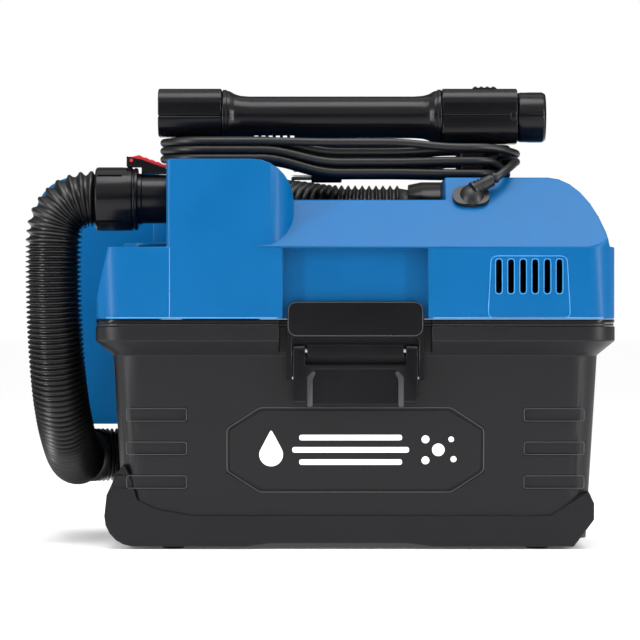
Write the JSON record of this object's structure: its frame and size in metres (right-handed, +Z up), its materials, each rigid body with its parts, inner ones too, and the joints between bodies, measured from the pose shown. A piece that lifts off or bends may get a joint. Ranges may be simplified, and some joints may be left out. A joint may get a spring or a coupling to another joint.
{
  "type": "shop vacuum",
  "caption": "Toolbox-shaped wet and dry shop vacuum with lift-off power head, front draw latch, wrapped bellows hose and carry handle that stores the wand.",
  "frame": {"origin": "on the floor under the middle of the machine's footprint, cord and hose left out", "axes": "+X to the machine's right, seen from the front, +Y to its back, +Z up; the front faces -Y"},
  "size_m": [0.5146, 0.3018, 0.4024],
  "materials": {
    "tank_plastic": "textured, moulded polypropylene",
    "cover_plastic": "satin moulded blue",
    "black_plastic": "smooth moulded black",
    "hose_plastic": "smooth ribbed hose",
    "rubber": "soft matt rubber",
    "red_plastic": "smooth red",
    "steel": "bright steel",
    "copper": "copper windings",
    "brass": "brass",
    "filter_paper": "pleated filter paper"
  },
  "bodies": {
    "tank": {"tank": "tank_plastic", "foot_front_left": "rubber", "foot_front_right": "rubber", "foot_back_left": "rubber", "foot_back_right": "rubber", "badge_panel": "tank_plastic", "latch_bracket": "black_plastic", "latch_pin": "steel"},
    "latch_lever": {"latch_lever": "black_plastic", "bail_pin_left": "steel", "bail_pin_right": "steel"},
    "latch_bail": {"latch_bail": "black_plastic"},
    "power_head": {"lid_seal": "rubber", "deck": "black_plastic", "cover": "cover_plastic", "hose_wrap": "cover_plastic", "inlet_elbow": "black_plastic", "fan_housing": "black_plastic", "exhaust_duct": "black_plastic", "motor_housing": "black_plastic", "stator": "steel", "bearing_lower": "steel", "bearing_upper": "steel", "brush_left": "brass", "brush_right": "brass", "filter_cage": "black_plastic", "filter_cartridge": "filter_paper", "filter_cap": "black_plastic", "switch_body": "black_plastic", "post_left": "black_plastic", "post_right": "black_plastic", "cap_left": "black_plastic", "cap_right": "black_plastic", "grip": "black_plastic", "hose_cuff": "black_plastic", "lever_bracket": "black_plastic", "lever_pin": "red_plastic", "hose": "hose_plastic", "stored_cuff": "black_plastic", "cord_boot": "rubber", "cord_lead": "rubber", "cord_winding": "rubber", "cord_tail": "rubber", "plug": "rubber", "plug_blade_front": "brass", "plug_blade_back": "brass", "plug_ground_pin": "brass"},
    "rotor": {"motor_shaft": "steel", "armature": "copper", "commutator": "copper", "impeller": "black_plastic"},
    "float": {"float_ball": "red_plastic"},
    "rocker": {"switch_rocker": "black_plastic"},
    "wand": {"wand": "black_plastic"},
    "wand_button": {"wand_button": "black_plastic"},
    "release_lever": {"release_lever": "red_plastic"}
  },
  "joints": [
    {"name": "head_lift", "type": "slide", "parent": "tank", "child": "power_head", "axis": [0, 0, 1], "range_m": [0, 0.25]},
    {"name": "latch_lever_hinge", "type": "hinge", "parent": "tank", "child": "latch_lever", "pos_m": [0.03475, -0.1341, 0.17], "axis": [-1, 0, 0], "range_deg": [0, 110]},
    {"name": "latch_bail_hinge", "type": "hinge", "parent": "latch_lever", "child": "latch_bail", "pos_m": [0.03475, -0.13635, 0.147], "axis": [-1, 0, 0], "range_deg": [-130, 0]},
    {"name": "rotor_spin", "type": "hinge", "parent": "power_head", "child": "rotor", "pos_m": [0.14675, -0.0286, 0.25], "axis": [0, 0, 1], "continuous": true},
    {"name": "float_rise", "type": "slide", "parent": "power_head", "child": "float", "axis": [0, 0, 1], "range_m": [0, 0.018]},
    {"name": "switch_rock", "type": "hinge", "parent": "power_head", "child": "rocker", "pos_m": [0.18475, 0.0989, 0.262], "axis": [-1, 0, 0], "range_deg": [0, 14]},
    {"name": "wand_slide", "type": "slide", "parent": "power_head", "child": "wand", "axis": [1, 0, 0], "range_m": [0, 0.29]},
    {"name": "wand_button_press", "type": "slide", "parent": "power_head", "child": "wand_button", "axis": [0, 0, -1], "range_m": [0, 0.002], "stiffness_N_per_m": 400},
    {"name": "hose_release_press", "type": "hinge", "parent": "power_head", "child": "release_lever", "pos_m": [-0.15925, -0.0706, 0.3349], "axis": [0, 1, 0], "range_deg": [0, 6], "stiffness_Nm_per_rad": 0.5}
  ],
  "couplings": [
    {"joint": "latch_bail_hinge", "follows": "latch_lever_hinge", "ratio": -1.15}
  ]
}
